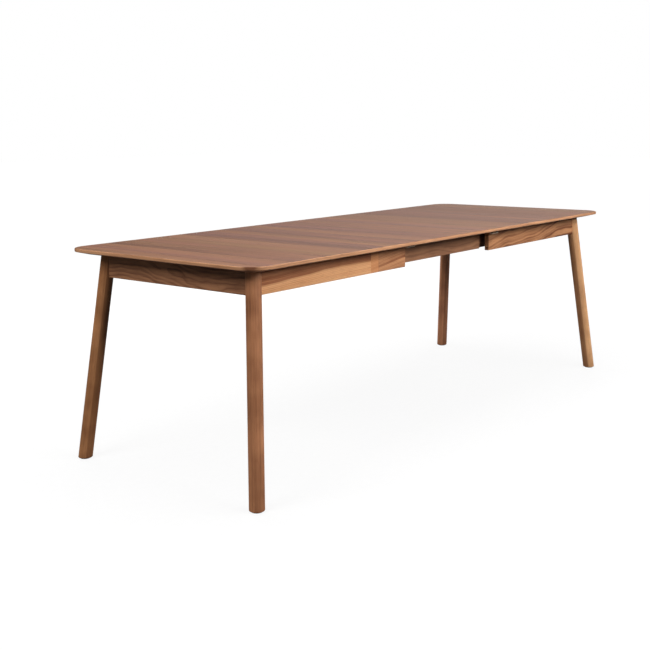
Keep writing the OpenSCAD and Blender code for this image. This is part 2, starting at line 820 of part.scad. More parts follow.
right_side() other_long_side() runner();  // right_front_runner
right_side() runner();  // right_back_runner
right_side() half_rack();  // right_rack
right_side() half_fixing_blocks();  // right_fixing_blocks
right_side() color("#c9cbcd") half_screws(0);  // right_screws
right_side() half_rest_bars();  // right_rest_bars
right_side() half_spacers();  // right_spacers
right_side() other_long_side() glide();  // right_front_glide
right_side() glide();  // right_back_glide
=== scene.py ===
"""Looks of the extending dining table: walnut veneer, solid walnut and zinc-plated fittings.

Every size is in metres in the CAD frame: +X along the table, front at -Y, floor at z = 0.
"""

import json
from math import cos, pi, radians, sin

import bmesh
import bpy
import numpy as np
from mathutils import Matrix, Vector

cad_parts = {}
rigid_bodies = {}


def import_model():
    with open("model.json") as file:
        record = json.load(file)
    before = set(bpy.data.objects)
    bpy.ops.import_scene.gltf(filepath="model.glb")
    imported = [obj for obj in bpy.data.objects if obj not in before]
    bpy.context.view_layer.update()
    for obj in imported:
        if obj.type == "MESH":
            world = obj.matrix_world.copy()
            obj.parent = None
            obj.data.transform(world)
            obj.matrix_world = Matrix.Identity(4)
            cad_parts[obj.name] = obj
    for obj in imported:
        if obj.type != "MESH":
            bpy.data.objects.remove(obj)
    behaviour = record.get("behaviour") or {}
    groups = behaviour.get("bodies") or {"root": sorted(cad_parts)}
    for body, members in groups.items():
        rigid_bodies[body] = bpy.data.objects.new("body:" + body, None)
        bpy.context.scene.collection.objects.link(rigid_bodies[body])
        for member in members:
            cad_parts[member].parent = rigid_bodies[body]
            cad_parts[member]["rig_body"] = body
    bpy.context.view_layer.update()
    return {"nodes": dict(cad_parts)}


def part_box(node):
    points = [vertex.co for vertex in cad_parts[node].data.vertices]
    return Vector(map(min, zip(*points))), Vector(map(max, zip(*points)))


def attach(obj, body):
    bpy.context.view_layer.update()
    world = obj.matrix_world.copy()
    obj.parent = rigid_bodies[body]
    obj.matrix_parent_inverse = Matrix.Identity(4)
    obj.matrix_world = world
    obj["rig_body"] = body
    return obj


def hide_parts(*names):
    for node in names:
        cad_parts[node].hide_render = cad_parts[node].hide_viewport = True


bl_info = {
    "name": "Extending dining table",
    "version": (1, 0, 0),
    "blender": (4, 5, 0),
    "location": "3D View > Sidebar > Table",
    "description": "Dresses the packed table frame with veneer, solid wood, fittings and a studio",
    "category": "Add Mesh",
}

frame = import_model()
NODES = frame["nodes"]

ALONG, ACROSS, UPWARD = (1, 0, 0), (0, 1, 0), (0, 0, 1)
SIDES = ("left", "right")
# Name of each corner of the table, with the signs of its x and its y
CORNERS = (("left_front", -1, -1), ("left_back", -1, 1), ("right_front", 1, -1), ("right_back", 1, 1))


def linear(code):
    """The linear colour of a display colour such as "9b7663"."""
    parts = [int(code[i : i + 2], 16) / 255 for i in (0, 2, 4)]
    return tuple(p / 12.92 if p <= 0.04045 else ((p + 0.055) / 1.055) ** 2.4 for p in parts)


class TableSizes(bpy.types.PropertyGroup):
    """Sizes of the finish that a user would change."""

    ease: bpy.props.FloatProperty(
        name="Eased edge", description="Radius of the eased edges of the solid pieces",
        default=0.0008, min=0.0002, max=0.003, unit="LENGTH")
    rim_top: bpy.props.FloatProperty(
        name="Rim, upper edge", description="Radius of the upper edge of the lipping",
        default=0.003, min=0.0005, max=0.004, unit="LENGTH")
    rim_low: bpy.props.FloatProperty(
        name="Rim, lower edge", description="Radius of the lower edge of the lipping",
        default=0.002, min=0.0005, max=0.004, unit="LENGTH")
    foot_round: bpy.props.FloatProperty(
        name="Foot", description="Radius of the rounded edge under each leg",
        default=0.003, min=0.001, max=0.006, unit="LENGTH")


class TableColours(bpy.types.PropertyGroup):
    """Colours of the table's woods and fittings."""

    veneer_light: bpy.props.FloatVectorProperty(
        name="Veneer, light", description="Light bands of the top's veneer",
        default=linear("99664b"), min=0, max=1, subtype="COLOR")
    veneer_dark: bpy.props.FloatVectorProperty(
        name="Veneer, dark", description="Dark bands of the top's veneer",
        default=linear("744a32"), min=0, max=1, subtype="COLOR")
    wood_light: bpy.props.FloatVectorProperty(
        name="Walnut, light", description="Light wood between the growth rings",
        default=linear("c58657"), min=0, max=1, subtype="COLOR")
    wood_dark: bpy.props.FloatVectorProperty(
        name="Walnut, dark", description="Dark wood of the growth rings",
        default=linear("6c3a24"), min=0, max=1, subtype="COLOR")
    sapwood: bpy.props.FloatVectorProperty(
        name="Sapwood", description="Pale wood from the outside of the log",
        default=linear("d6a375"), min=0, max=1, subtype="COLOR")
    beech: bpy.props.FloatVectorProperty(
        name="Beech", description="Pale wood of the hidden slides and blocks",
        default=linear("c9a27a"), min=0, max=1, subtype="COLOR")
    zinc: bpy.props.FloatVectorProperty(
        name="Zinc", description="Plated steel of the fasteners, racks and spacers",
        default=linear("c9c6c0"), min=0, max=1, subtype="COLOR")
    nylon: bpy.props.FloatVectorProperty(
        name="Nylon", description="Moulded pinion",
        default=linear("ded8c8"), min=0, max=1, subtype="COLOR")
    glide: bpy.props.FloatVectorProperty(
        name="Glides", description="Plastic under the feet",
        default=linear("2a2522"), min=0, max=1, subtype="COLOR")


def colours():
    return bpy.context.scene.table_colours


def sizes():
    return bpy.context.scene.table_sizes


class Wire:
    """A socket that can stand in an expression: each operator adds the Math node that it names."""

    def __init__(self, paint, socket):
        self.paint, self.socket = paint, socket

    def _math(self, operation, *values):
        return self.paint.node("Math", {"operation": operation}, dict(enumerate(values)))

    def __add__(self, other):
        return self._math("ADD", self, other)

    def __sub__(self, other):
        return self._math("SUBTRACT", self, other)

    def __rsub__(self, other):
        return self._math("SUBTRACT", other, self)

    def __mul__(self, other):
        return self._math("MULTIPLY", self, other)

    def __truediv__(self, other):
        return self._math("DIVIDE", self, other)

    def __pow__(self, other):
        return self._math("POWER", self, other)

    def __mod__(self, other):
        return self._math("FLOORED_MODULO", self, other)

    def __gt__(self, other):
        return self._math("GREATER_THAN", self, other)

    __radd__ = __add__
    __rmul__ = __mul__

    def clamp(self):
        """The value held between 0 and 1."""
        return self.paint.node("Clamp", {}, {"Value": self})

    def rise(self, low, high):
        """0 below low, 1 above high, and a smooth slope between them."""
        return self.paint.node("MapRange", {"interpolation_type": "SMOOTHSTEP"},
                               {"Value": self, "From Min": low, "From Max": high})

    def swing(self, amount):
        """A noise moved to lie about 0, times an amount."""
        return (self - 0.5) * amount


class Paint:
    """A node tree under construction: a new material's, or the one that it is given."""

    def __init__(self, name="", tree=None):
        if tree is None:
            self.material = bpy.data.materials.new(name)
            self.material.use_nodes = True
            tree = self.material.node_tree
        self.tree = tree
        self.tree.nodes.clear()

    def node(self, kind, settings=None, inputs=None, out=0):
        """Adds a node of that type: its settings first, such as a ramp's stops and interpolation, then
        the values or links of its sockets. Returns the output of that number or name, or a list of
        outputs for a tuple."""
        n = self.tree.nodes.new("ShaderNode" + kind)
        for key, value in (settings or {}).items():
            if key == "stops":
                stops = n.color_ramp.elements
                while len(stops) < len(value):
                    stops.new(1)
                for stop, (place, tone) in zip(stops, value):
                    stop.position, stop.color = place, (*tone, 1)
            elif key == "ramp":
                n.color_ramp.interpolation = value
            else:
                setattr(n, key, value)
        for key, value in (inputs or {}).items():
            socket = n.inputs[key]
            if isinstance(value, Wire):
                self.tree.links.new(value.socket, socket)
            elif hasattr(value, "__len__") and socket.type == "RGBA":
                socket.default_value = (*value[:3], 1)
            else:
                socket.default_value = value
        if isinstance(out, tuple):
            return [Wire(self, n.outputs[key]) for key in out]
        return Wire(self, n.outputs[out]) if len(n.outputs) else None

    def place(self):
        """Object coordinates, which are the CAD frame's own at rest."""
        return self.node("TexCoord", out="Object")

    def axis(self, point, direction, origin=(0, 0, 0)):
        """Distance of a point from the origin along a direction."""
        moved = self.node("VectorMath", {"operation": "SUBTRACT"}, {0: point, 1: origin})
        return self.node("VectorMath", {"operation": "DOT_PRODUCT"}, {0: moved, 1: direction}, out=1)

    def axes(self, point, directions=(ALONG, ACROSS, UPWARD), origin=(0, 0, 0)):
        """Distances of a point from the origin along several directions."""
        return [self.axis(point, direction, origin) for direction in directions]

    def noise(self, x, y, z, detail=2.0, rough=0.5, distort=0.0):
        """Smooth noise from about 0.2 to 0.8, one unit of each value being one cell."""
        cell = self.node("CombineXYZ", {}, {"X": x, "Y": y, "Z": z})
        return self.node("TexNoise", {}, {"Vector": cell, "Scale": 1.0, "Detail": detail,
                                          "Roughness": rough, "Distortion": distort})

    def mix(self, factor, a, b):
        """Colour a where the factor is 0, and colour b where it is 1."""
        return self.node("Mix", {"data_type": "RGBA"}, {0: factor, 6: a, 7: b}, out=2)

    def bump(self, height, depth, strength):
        return self.node("Bump", {}, {"Height": height, "Distance": depth, "Strength": strength})

    def finish(self, **sockets):
        """The surface shader: names with _ for spaces, such as Base_Color."""
        inputs = {key.replace("_", " "): value for key, value in sockets.items()}
        self.node("OutputMaterial", {}, {"Surface": self.node("BsdfPrincipled", {}, inputs)})
        return self.material


# Half the length of the extended tops
HALF_LENGTH = 1.2
# Right-hand edge, lightness and warmth of each leaf of veneer, from the left end of the table
VENEER = (
    (-1.155, 0.95, 0.50), (-1.125, 0.68, 0.40), (-1.022, 0.90, 0.40), (-0.975, 0.28, 0.40),
    (-0.845, 0.55, 0.60), (-0.752, 0.48, 0.55), (-0.676, 0.76, 0.70), (-0.545, 0.24, 0.10),
    (-0.320, 0.50, 0.40), (-0.250, 0.72, 0.50), (-0.080, 0.42, 0.20), (0.205, 0.60, 0.45),
    (0.430, 0.44, 0.70), (0.540, 0.06, 0.30), (0.705, 0.46, 0.15), (0.840, 0.34, 0.20),
    (0.925, 0.06, 0.30), (1.210, 0.50, 0.50))
# Share of a turn from one leaf's figure to the next, which never comes back to the same place
FIGURE_STEP = 0.618
VENEER_TAN, VENEER_MAUVE, VENEER_PORE = linear("987048"), linear("775156"), linear("4a2e20")

WOOD_PORE, SAP_RING, GLUE = linear("4a2f20"), linear("a0653f"), linear("5a3826")
RIM_LIGHT, RIM_DARK, RIM_PORE = linear("c4936e"), linear("926244"), linear("5a3a28")
END_LIGHT, END_DARK = linear("88583d"), linear("563624")
# The last of these is the rest bars' tone: partly the plating's own colour, and partly a painted glint
# and a painted warm reflection of the wood around them
BEECH_DARK, DULL_ZINC, NICKEL_AND_GLINT = linear("a47c56"), linear("8d8f8c"), linear("ecd8c0")
# Half the width of a glue line
GLUE_HALF = 0.0012
# Cells a metre of the fibre streaks and of the pores: along the grain, and across it
STREAK_CELLS, PORE_CELLS = (5.0, 260.0), (38.0, 1150.0)
# How deep the surface of each finish goes
VENEER_DEPTH, WOOD_DEPTH, RIM_DEPTH = 0.00012, 0.00015, 0.00012
STEEL_DEPTH, PLASTIC_DEPTH = 0.00004, 0.00006
# How far along its log the second board of a joint was sawn from the first
SECOND_BOARD = 0.41


def fibres(p, along, across, depth):
    """Fine fibre streaks and open pores, both long along the grain, as two values."""
    length, width = STREAK_CELLS
    streak = p.noise(along * length, across * width, depth * width, detail=3.0, rough=0.65)
    length, width = PORE_CELLS
    pore = p.noise(along * length, across * width, depth * width, detail=1.0)
    return streak, pore.rise(0.62, 0.72)


def relief(streak, pore):
    """Height of a wood's surface: raised streaks, with the open pores sunk into it."""
    return streak * 0.6 + (1 - pore) * 0.8


def veneer():
    """Leaves of veneer with their grain across the table, slipped side by side: bands of colour that
    bend a little, fibre streaks and pores, under a satin lacquer."""
    c, p = colours(), Paint("walnut_veneer")
    x, y, z = p.axes(p.place())
    stops, left = [], -HALF_LENGTH
    for k, (right, lightness, warmth) in enumerate(VENEER):
        start = (left + HALF_LENGTH) / (2 * HALF_LENGTH)
        stops.append((start, (lightness, warmth, (k * FIGURE_STEP) % 1)))
        left = right
    share = (x + HALF_LENGTH) / (2 * HALF_LENGTH)
    leaf = p.node("ValToRGB", {"stops": stops, "ramp": "CONSTANT"}, {"Fac": share})
    tone, warm, shift = p.node("SeparateColor", {}, {"Color": leaf}, out=(0, 1, 2))
    bent = x + p.noise(x * 1.6, y * 1.3, shift * 9.0, detail=1.0).swing(0.05)
    bands = p.noise(bent * 22.0, y * 0.5, shift * 17.0, rough=0.65)
    narrow = p.noise(bent * 90.0, y * 0.8, shift * 5.0, rough=0.65)
    streak, pore = fibres(p, y, x, z)
    cloud = p.noise(x * 5.0, y * 2.4, z, detail=1.0)
    value = tone + bands.swing(2.2) + narrow.swing(3.4) + streak.swing(2.2) + cloud.swing(0.5)
    base = p.mix(value.clamp(), c.veneer_dark, c.veneer_light)
    hue = warm + p.noise(bent * 13.0, y * 0.4, shift * 3.0 + 7.0, detail=1.0).swing(2.4)
    base = p.mix((hue - 0.35).clamp() * 0.5, base, VENEER_TAN)
    base = p.mix((0.4 - hue).clamp() * 0.5, base, VENEER_MAUVE)
    base = p.mix(pore * 0.45, base, VENEER_PORE)
    rough = streak.swing(0.18) + bands.swing(0.08) + 0.3
    return p.finish(Base_Color=base, Roughness=rough, Specular_IOR_Level=0.5,
                    Normal=p.bump(relief(streak, pore), VENEER_DEPTH, 0.35))


def plank(name, origin, along, up, pith=(0.11, 0.03), tilt=0.02, ring=0.0032, wave=0.012,
          wave_step=0.35, light=None, dark=None, contrast=1.0, patchy=0.9, gloss=0.46, seed=0.0,
          sap=None, sap_soft=0.006, joint=None, stave_and_shade=None):
    """Solid wood sawn from a log. The rings are the distance from a wavy pith line that runs along the
    board, tilted a little to it, so the flat face shows cathedral figure and the edges show its sides.
    Broad bands of colour follow the rings, and fibres and pores follow the board.

    pith is the pith's height and depth at the origin, and ring the width of a growth ring. The pith
    bends by about wave, once in each wave_step. contrast scales the bands and patchy the clouds of
    colour. Sapwood starts at the distance sap from the pith, within sap_soft. joint glues a second
    board to the end of the first: its place, the width of the pale strip that it starts with, and the
    step and slope of its rings. The last argument is a darker stave, glued on, whose tone also paints
    the shade on that side of a leg: its side, its distance from the origin and its tone."""
    c, p = colours(), Paint(name)
    along = Vector(along).normalized()
    out = along.cross(Vector(up)).normalized()
    up = out.cross(along)
    here = p.place()
    a, h, d = p.axes(here, (along[:], up[:], out[:]), origin)
    second = 0.0
    if joint is not None:
        place, width, step, slope = joint
        far = a - place - width
        glue = 1 - (far * far) ** 0.5 / GLUE_HALF
        second = a > place
        strip = second - (a > place + width)
        h = h + second * (far * slope + step)
        a = a + second * SECOND_BOARD
    bow = p.noise(a / wave_step + seed * 7.3, seed * 3.1, 0.5, detail=1.5).swing(wave * 4)
    knotty = p.noise(a * 9.0 + seed, h * 22.0, d * 22.0 + seed).swing(wave * 0.5)
    above, behind = h - pith[0] - a * tilt + bow, d - pith[1]
    radius = (above * above + behind * behind) ** 0.5 + knotty
    broad = p.noise(radius * 62.0 + seed * 11.0, a * 0.6, seed * 5.0, rough=0.55)
    late = ((radius / ring + p.noise(radius * 140.0, a * 2.0, seed, detail=1.0) * 0.9) % 1.0) ** 2.5
    streak, pore = fibres(p, a, h, d)
    patch = p.noise(a * 7.0 + seed * 13.0, h * 11.0, d * 11.0)
    value = (broad.swing(2.4 * contrast) - late * (0.32 * contrast) + streak.swing(0.9)
             + patch.swing(patchy) + 0.66).clamp()
    light = light or c.wood_light
    if joint is not None:
        light = p.mix(second * 0.3, light, c.sapwood)
    base = p.mix(value, dark or c.wood_dark, light)
    if sap is not None:
        edge = (radius + patch.swing(0.006)).rise(sap - sap_soft, sap + sap_soft)
        pale = p.mix((value * 0.8 + 0.25).clamp(), c.wood_light, c.sapwood)
        pale = p.mix(late * 0.5, pale, SAP_RING)
        base = p.mix(edge * (1 - second) * 0.85, base, pale)
    # Painted shade: the darker tone on one side is partly a glued stave and partly the shade that
    # falls on that side of a leg
    if stave_and_shade is not None:
        side, distance, tone = stave_and_shade
        side = Vector(side) - along * along.dot(Vector(side))
        past = p.axis(here, side.normalized()[:], origin) - distance
        base = p.mix(past.rise(-GLUE_HALF, GLUE_HALF) * 0.6, base, tone)
    base = p.mix(pore * 0.4, base, WOOD_PORE)
    if joint is not None:
        base = p.mix(strip * 0.5, base, c.wood_light)
        base = p.mix(glue.clamp() * 0.8, base, GLUE)
    rough = streak.swing(0.16) + late * 0.05 + gloss
    height = relief(streak, pore) - late * 0.3
    return p.finish(Base_Color=base, Roughness=rough, Specular_IOR_Level=0.25,
                    Normal=p.bump(height, WOOD_DEPTH, 0.35))


def lipping():
    """Solid lipping whose grain follows the edge: streaks by the distance run along it, and darker end
    grain where it turns the corners."""
    p = Paint("walnut_lipping")
    x, y, z = p.axes(p.place())
    run, turn = (p.node("Attribute", {"attribute_name": name}, out="Fac") for name in ("run", "turn"))
    bands = p.noise(run * 2.2, z * 210.0, (x + y) * 3.0)
    streak, pore = fibres(p, run, z, turn * 0.01)
    patch = p.noise(run * 9.0, z * 20.0, 0.0)
    value = bands.swing(1.6) + streak.swing(0.8) + patch.swing(0.9) + 0.6
    base = p.mix(value.clamp(), RIM_DARK, RIM_LIGHT)
    end_grain = p.mix(p.noise(x * 900.0, y * 900.0, z * 500.0), END_DARK, END_LIGHT)
    base = p.mix((turn * turn * (patch.swing(2.5) + 0.85)).clamp(), base, end_grain)
    base = p.mix(pore * 0.35, base, RIM_PORE)
    rough = streak.swing(0.16) + turn * 0.08 + 0.46
    return p.finish(Base_Color=base, Roughness=rough, Specular_IOR_Level=0.35,
                    Normal=p.bump(relief(streak, pore), RIM_DEPTH, 0.3))


def steel(name, tone, rough, grain=ALONG, metal=1.0):
    """Plated steel: a fine crystal mottle, faint rolling marks along the stock and dull spots."""
    p = Paint(name)
    here = p.place()
    x, y, z = p.axes(here)
    run = p.axis(here, grain)
    spangle = p.noise(x * 420.0, y * 420.0, z * 420.0, detail=3.0, rough=0.6)
    marks = p.noise(run * 30.0, (x + y + z - run) * 1500.0, 0.0)
    dull = p.noise(x * 60.0, y * 60.0, z * 60.0, detail=3.0).rise(0.5, 0.72)
    base = p.mix((spangle * 0.5 + 0.1).clamp(), tone, tuple(v * 0.72 for v in tone))
    base = p.mix(dull * 0.3, base, DULL_ZINC)
    return p.finish(Base_Color=base, Metallic=metal,
                    Roughness=spangle.swing(0.18) + marks.swing(0.12) + dull * 0.12 + rough,
                    Normal=p.bump(spangle + marks * 0.5, STEEL_DEPTH, 0.4))


def moulded(name, tone, rough, cell):
    """Moulded plastic: a fine spark-eroded grain of so many cells a metre, and faint flow marks."""
    p = Paint(name)
    x, y, z = p.axes(p.place())
    fine = p.noise(x * cell, y * cell, z * cell, detail=3.0, rough=0.6)
    flow = p.noise(x * 70.0, y * 70.0, z * 25.0, detail=1.0, distort=1.5)
    base = p.mix((flow - 0.2).clamp(), tone, tuple(min(1, v * 1.35 + 0.01) for v in tone))
    return p.finish(Base_Color=base, Roughness=fine.swing(0.2) + rough,
                    Normal=p.bump(fine, PLASTIC_DEPTH, 0.5))


# Points closer than this are one point
TOUCH = 1e-5
# Edges that turn by less are shaded smooth, and those that turn by more and are long enough are eased
SMOOTH_ANGLE, EASED_ANGLE, EASED_LENGTH = radians(28), radians(40), 0.012
# Faces that turn by less are merged into one
FLAT_ANGLE = radians(0.4)
# Points round each corner of the tops, along each long side and across the end
TURN_POINTS, SIDE_POINTS, END_POINTS = 25, 40, 30
# Points along each rim of the leaf, and the distance run that its middle counts as
LEAF_POINTS, LEAF_RUN = 13, 0.6
# Points of the upper and the lower rounding of a rim
TOP_POINTS, LOW_POINTS = 5, 6
# Points round a leg, rings of its rounded foot and rings above it
LEG_POINTS, FOOT_RINGS, LEG_RINGS = 96, 7, 24


def points_of(node):
    """The points of a CAD node's mesh, one row each."""
    mesh = NODES[node].data
    points = np.empty(3 * len(mesh.vertices))
    mesh.vertices.foreach_get("co", points)
    return points.reshape(-1, 3)


def middle(node):
    """The middle of a CAD node's box."""
    low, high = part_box(node)
    return tuple((low + high) / 2)


def dress(node, material):
    """Puts a material in a CAD node's slots, with the node's own mesh as it is."""
    mesh = NODES[node].data
    mesh.materials.clear()
    mesh.materials.append(material)


def stand_for(piece, node, material):
    """Makes a piece ride on its node's body, in the node's place."""
    piece.data.materials.append(material)
    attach(piece, NODES[node]["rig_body"])
    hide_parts(node)


def add_piece(name, mesh):
    """A new object with that mesh, smooth but for its sharp edges."""
    mesh.shade_smooth()
    mesh.set_sharp_from_angle(angle=SMOOTH_ANGLE)
    piece = bpy.data.objects.new(name, mesh)
    bpy.context.scene.collection.objects.link(piece)
    return piece


def closed_tube(name, points, **attributes):
    """A tube from points[i, j]: i runs along it and j goes round it. Each neighbouring four points
    make one face, and the two ends are closed with one flat face each. All faces look outwards."""
    rows, ring = points.shape[:2]
    i, j = np.meshgrid(np.arange(rows - 1), np.arange(ring), indexing="ij")
    k = (j + 1) % ring
    faces = np.stack([i * ring + j, i * ring + k, (i + 1) * ring + k, (i + 1) * ring + j], -1)
    ends = [list(range(ring))[::-1], [(rows - 1) * ring + n for n in range(ring)]]
    mesh = bpy.data.meshes.new(name)
    mesh.from_pydata(points.reshape(-1, 3).tolist(), [], faces.reshape(-1, 4).tolist() + ends)
    for key, values in attributes.items():
        layer = mesh.attributes.new(key, "FLOAT", "POINT")
        layer.data.foreach_set("value", np.ravel(values).astype(np.float32))
    bm = bmesh.new()
    bm.from_mesh(mesh)
    bmesh.ops.recalc_face_normals(bm, faces=bm.faces)
    bm.to_mesh(mesh)
    bm.free()
    return add_piece(name, mesh)


def eased_copy(node, radius):
    """The node's own shape, merged into flat faces, with each long sharp edge rounded."""
    bm = bmesh.new()
    bm.from_mesh(NODES[node].data)
    bmesh.ops.remove_doubles(bm, verts=bm.verts, dist=TOUCH)
    bmesh.ops.dissolve_limit(bm, angle_limit=FLAT_ANGLE, verts=bm.verts, edges=bm.edges)
    weight = bm.edges.layers.float.new("bevel_weight_edge")
    for edge in bm.edges:
        sharp = len(edge.link_faces) == 2 and edge.calc_face_angle() > EASED_ANGLE
        if sharp and edge.calc_length() > EASED_LENGTH:
            edge[weight] = 1.0
    mesh = bpy.data.meshes.new(node + "_wood")
    bm.to_mesh(mesh)
    bm.free()
    piece = add_piece(node + "_wood", mesh)
    bevel = piece.modifiers.new("Eased edges", "BEVEL")
    bevel.limit_method, bevel.harden_normals = "WEIGHT", True
    bevel.width, bevel.segments = radius, 2
    return piece


def board(node, suffix, slot, along, **look):
    """Puts an eased copy in the place of a CAD board, in solid wood of its own."""
    material = plank(node + suffix, middle(node), along, UPWARD, **look)
    stand_for(eased_copy(node, sizes().ease), node, material)


def arc(centre, radius, start, stop, steps):
    """Points on a quarter or so of a circle, from one angle to another in degrees: the centre, and the
    radius times the angle's cosine and sine."""
    t = np.radians(np.linspace(start, stop, steps))
    return np.stack([centre[0] + radius * np.cos(t), centre[1] + radius * np.sin(t)], -1)


def rim_profile(lip, top, low, slope, r_top, r_low):
    """Section of the lipping as (distance in from the edge, height): down the rounded outer face, in
    along the bevelled underside, and up the inner face to the surface. Each rounding is an arc that
    touches the faces beside it, so the lower one's centre lies its radius in from the edge, and above
    the corner by the radius times the tangent of half the corner's turn."""
    tilt = np.degrees(np.arctan(slope))
    reach = r_low * np.tan(np.radians((90 - tilt) / 2))
    upper = arc((r_top, top - r_top), r_top, 90, 180, TOP_POINTS)
    lower = arc((r_low, low + reach), r_low, 180, 270 - tilt, LOW_POINTS)
    inner = [[lip, low - slope * lip], [lip, top]]
    return np.concatenate([upper, lower, inner])


def rim_path(x0, x1, y1, corner):
    """Points and outward directions along a half top's outer edge, from the front of the seam round
    two rounded corners to the back of the seam, with the distance run and how much end grain shows.
    Each point of a corner lies a radius from the corner's centre in its outward direction. The end
    grain is the squared sine of twice the direction's angle, times the sum of 0.9 and 0.7 times the
    double angle's cosine, and at most 1: none on the sides and the end, most next to the end."""
    turn = np.linspace(0, 90, TURN_POINTS)
    side_x = np.linspace(x0, x1 - corner, SIDE_POINTS)[:-1]
    end_y = np.linspace(corner - y1, y1 - corner, END_POINTS)[1:-1]
    right_angle = np.full(len(side_x), 90.0)
    t = np.concatenate([-right_angle, turn - 90, np.zeros(len(end_y)), turn, right_angle])
    t = np.radians(t)
    out = np.stack([np.cos(t), np.sin(t)], -1)
    centre = np.concatenate([
        np.stack([side_x, np.full_like(side_x, corner - y1)], -1),
        np.tile([x1 - corner, corner - y1], (len(turn), 1)),
        np.stack([np.full_like(end_y, x1 - corner), end_y], -1),
        np.tile([x1 - corner, y1 - corner], (len(turn), 1)),
        np.stack([side_x[::-1], np.full_like(side_x, y1 - corner)], -1)])
    edge = centre + corner * out
    run = np.concatenate([[0], np.cumsum(np.linalg.norm(np.diff(edge, axis=0), axis=1))])
    end_grain = np.minimum(np.sin(2 * np.abs(t)) ** 2 * (0.9 + 0.7 * np.cos(2 * t)), 1)
    return edge, out, run, end_grain


def swept_rim(name, edge, out, run, end_grain, profile):
    """The lipping: its section carried along the edge. Each point is the edge's point less the
    section's distance times the outward direction, at the section's height."""
    flat = edge[:, None, :] - profile[None, :, :1] * out[:, None, :]
    high = np.broadcast_to(profile[None, :, 1:], (*flat.shape[:2], 1))
    ones = np.ones(len(profile))
    return closed_tube(name, np.concatenate([flat, high], -1),
                       run=np.outer(run, ones), turn=np.outer(end_grain, ones))


def leg_surface(name, foot, head, radius, low, high, ease):
    """A round leg that leans from foot to head, cut level at both ends: rings of one radius about its
    axis, each point slid along the axis to its ring's height, with a rounded edge at the foot."""
    axis = np.array(head) - np.array(foot)
    axis = axis / np.linalg.norm(axis)
    side = np.cross(axis, ACROSS)
    side /= np.linalg.norm(side)
    other = np.cross(axis, side)
    angle = np.linspace(0, 2 * pi, LEG_POINTS, endpoint=False)
    foot_angle = np.linspace(0, pi / 2, FOOT_RINGS)
    straight = np.linspace(low + ease, high, LEG_RINGS)[1:]
    heights = np.concatenate([low + ease * (1 - np.cos(foot_angle)), straight])
    radii = np.concatenate([radius - ease * (1 - np.sin(foot_angle)), np.full(len(straight), radius)])
    spoke = np.cos(angle)[:, None] * side + np.sin(angle)[:, None] * other
    centre = np.array(foot)[None, :] + ((heights - foot[2]) / axis[2])[:, None] * axis[None, :]
    points = centre[:, None, :] + radii[:, None, None] * spoke[None, :, :]
    slide = (heights[:, None] - points[:, :, 2]) / axis[2]
    return closed_tube(name, points + slide[:, :, None] * axis)


class TABLE_OT_tops(bpy.types.Operator):
    """Veneers the two half tops and the leaf"""

    bl_idname = "table.tops"
    bl_label = "Tops and leaf"

    def execute(self, context):
        material = veneer()
        for node in ("left_top", "right_top", "leaf_panel"):
            dress(node, material)
        return {"FINISHED"}


class TABLE_OT_rims(bpy.types.Operator):
    """Makes the lippings with rounded edges"""

    bl_idname = "table.rims"
    bl_label = "Lippings"

    def execute(self, context):
        s, material = sizes(), lipping()
        low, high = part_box("right_lipping")
        lip = high.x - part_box("right_top")[1].x
        points = points_of("right_lipping")
        rim_low = points[points[:, 0] > high.x - TOUCH, 2].min()
        corner = high.x - points[points[:, 1] > high.y - TOUCH, 0].max()
        slope = (rim_low - low.z) / lip
        profile = rim_profile(lip, high.z, rim_low, slope, s.rim_top, s.rim_low)
        edge, out, run, end_grain = rim_path(low.x, high.x, high.y, corner)
        for side, sign in (("right", 1), ("left", -1)):
            piece = swept_rim(side + "_rim", edge * sign, out * sign, run, end_grain, profile)
            stand_for(piece, side + "_lipping", material)
        low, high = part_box("leaf_lippings")
        x = np.linspace(low.x, high.x, LEAF_POINTS)
        for name, sign in (("leaf_front_rim", -1), ("leaf_back_rim", 1)):
            edge = np.stack([x, np.full_like(x, sign * high.y)], -1)
            out = np.tile([0.0, float(sign)], (len(x), 1))
            piece = swept_rim(name, edge, out, x + LEAF_RUN, np.zeros_like(x), profile)
            piece.data.materials.append(material)
            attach(piece, "leaf")
            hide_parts("leaf_lippings")
        return {"FINISHED"}


# Light and dark tone of each leg, and its darker stave, which also paints the shade on the side that
# the lamps leave dark: the side, its distance from the axis, and its tone
LEGS = {
    "left_front": (linear("b67d58"), linear("70462f"), None),
    "left_back": (linear("b47e54"), linear("744a2e"), ((0.63, -0.77, 0), 0.006, linear("6c452b"))),
    "right_front": (linear("d9a677"), linear("ae7e58"), ((-0.63, 0.77, 0), 0.007, linear("8e5638"))),
    "right_back": (linear("c68a64"), linear("8e5a44"), ((0.63, -0.77, 0), 0.001, linear("6a4632")))}


class TABLE_OT_legs(bpy.types.Operator):
    """Makes the four round legs with rounded feet"""

    bl_idname = "table.legs"
    bl_label = "Legs"

    def execute(self, context):
        for corner, sx, sy in CORNERS:
            node = corner + "_leg"
            light, dark, stave_and_shade = LEGS[corner]
            low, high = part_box(node)
            glide_low, glide_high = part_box(corner + "_glide")
            foot = ((glide_low.x + glide_high.x) / 2, (glide_low.y + glide_high.y) / 2, 0.0)
            points = points_of(node)
            cut = points[points[:, 2] > high.z - TOUCH]
            head = (*((cut.min(0) + cut.max(0)) / 2)[:2], high.z)
            lean = (head[0] - foot[0]) / high.z
            radius = np.ptp(cut[:, 0]) / 2 / np.hypot(1, lean)
            piece = leg_surface(node + "_wood", foot, head, radius, low.z, high.z, sizes().foot_round)
            # The stave paints the shade on the leg's darker side, as well as a glued stave of darker
            # wood
            material = plank(node + "_walnut", foot, Vector(head) - Vector(foot), (sx * 0.4, sy, 0),
                             pith=(0.05 + 0.01 * sx, 0.035), tilt=0.012, ring=0.0085, wave=0.006,
                             wave_step=0.4, contrast=0.35, patchy=1.9, light=light, dark=dark,
                             seed=1.3 + sx * 0.4 + sy * 0.9, stave_and_shade=stave_and_shade)
            stand_for(piece, node, material)
        return {"FINISHED"}


